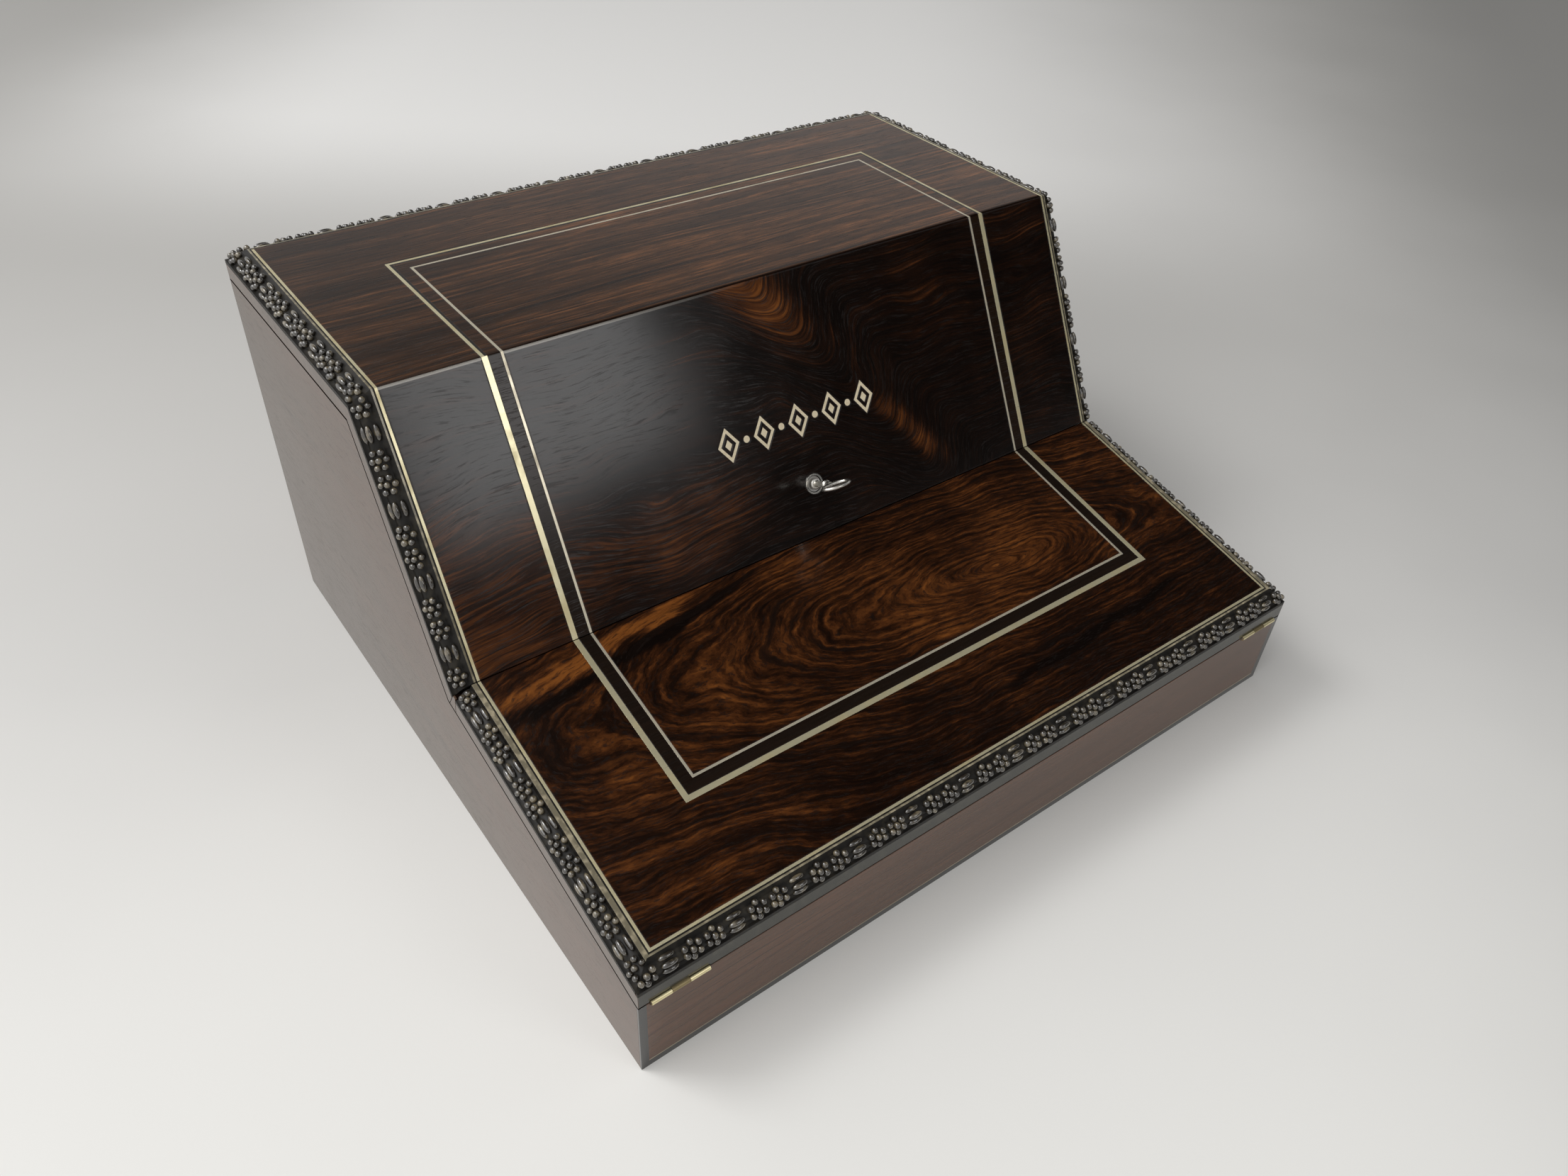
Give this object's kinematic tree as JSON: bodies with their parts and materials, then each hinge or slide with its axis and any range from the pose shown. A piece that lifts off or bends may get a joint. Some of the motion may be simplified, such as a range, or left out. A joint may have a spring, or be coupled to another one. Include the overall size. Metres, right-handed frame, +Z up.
{
  "type": "writing slope",
  "caption": "Veneered stationery box shaped like a small desk: L-shaped rear lid over a divided paper case, sloping front flap, brass stringing, beaded mouldings, lock and key.",
  "frame": {"origin": "on the table, under the middle of the box", "axes": "+X to the right seen from the front, +Y to the back, +Z up"},
  "size_m": [0.33, 0.3024, 0.1699],
  "materials": {
    "carcass_wood": "plain mahogany, oiled",
    "rosewood_side": "straight-grained rosewood veneer, French polish",
    "rosewood_top": "straight-grained rosewood veneer, French polish",
    "rosewood_fall": "dark rosewood veneer with a flame, French polish",
    "rosewood_slope": "swirling figured rosewood veneer, French polish",
    "ebonised": "ebonised hardwood, carved and polished",
    "dark_band": "dark rosewood crossbanding, French polish",
    "brass_inlay": "polished flush",
    "white_metal_inlay": "soft white metal, polished flush",
    "maple_inlay": "pale inlay wood, polished",
    "rack_wood": "polished mahogany",
    "velvet": "dark red velvet",
    "lining_paper": "watered lining paper",
    "leather": "dark green skiver with a gilt border",
    "hinge_brass": "worn brass",
    "steel": "darkened steel",
    "key_metal": "nickelled, worn"
  },
  "bodies": {
    "case": {"bottom_board": "carcass_wood", "front_board": "carcass_wood", "back_board": "carcass_wood", "left_side_board": "carcass_wood", "right_side_board": "carcass_wood", "side_veneers": "rosewood_side", "front_veneer": "rosewood_side", "corner_strips": "ebonised", "base_edging": "ebonised", "base_line": "maple_inlay", "cross_rail": "carcass_wood", "striker_plate": "hinge_brass", "striker_screws": "steel", "divider_racks": "rack_wood", "front_divider": "rack_wood", "middle_divider": "rack_wood", "rear_divider": "rack_wood", "floor_linings": "velvet", "front_hinge_case_leaves": "hinge_brass", "back_hinge_case_leaves": "hinge_brass", "hinge_pins": "steel", "case_hinge_screws": "steel"},
    "lid": {"back_hinge_lid_leaves": "hinge_brass", "lid_hinge_screws": "steel", "top_board": "carcass_wood", "fall_board": "carcass_wood", "top_veneer": "rosewood_top", "fall_veneer": "rosewood_fall", "fall_ornament": "maple_inlay", "lid_dark_band": "dark_band", "lid_brass_band": "brass_inlay", "lid_thin_line": "white_metal_inlay", "lid_border_line": "brass_inlay", "lid_edge_veneer": "ebonised", "top_side_mouldings": "ebonised", "fall_mouldings": "ebonised", "back_moulding": "ebonised", "lid_lining": "lining_paper", "lock_case": "steel", "lock_plate": "steel", "lock_screws": "steel", "escutcheon": "key_metal"},
    "flap": {"front_hinge_flap_leaves": "hinge_brass", "flap_hinge_screws": "steel", "slope_board": "carcass_wood", "slope_veneer": "rosewood_slope", "slope_band": "dark_band", "flap_brass_band": "brass_inlay", "flap_thin_line": "white_metal_inlay", "flap_border_line": "brass_inlay", "flap_edge_veneer": "ebonised", "slope_side_mouldings": "ebonised", "front_moulding": "ebonised", "writing_leather": "leather"},
    "lock_barrel": {"lock_barrel": "steel"},
    "bolt": {"bolt": "hinge_brass"},
    "key": {"key": "key_metal"}
  },
  "joints": [
    {"name": "lid_hinge", "type": "hinge", "parent": "case", "child": "lid", "pos_m": [0, 0.1502, 0.1561], "axis": [-1, 0, 0], "range_deg": [0, 100]},
    {"name": "flap_hinge", "type": "hinge", "parent": "case", "child": "flap", "pos_m": [0, -0.1502, 0.03746], "axis": [1, 0, 0], "range_deg": [0, 178.5]},
    {"name": "key_turn", "type": "hinge", "parent": "lid", "child": "lock_barrel", "pos_m": [0, -0.02037, 0.09521], "axis": [0, -0.8771, 0.4802], "range_deg": [0, 180]},
    {"name": "key_pull", "type": "slide", "parent": "lock_barrel", "child": "key", "axis": [0, -0.8771, 0.4802], "range_m": [0, 0.025]},
    {"name": "bolt_throw", "type": "slide", "parent": "lid", "child": "bolt", "axis": [0, -0.4802, -0.8771], "range_m": [0, 0.007]}
  ],
  "couplings": [
    {"joint": "key_turn", "follows": "bolt_throw", "rad_per_m": 448.79}
  ]
}
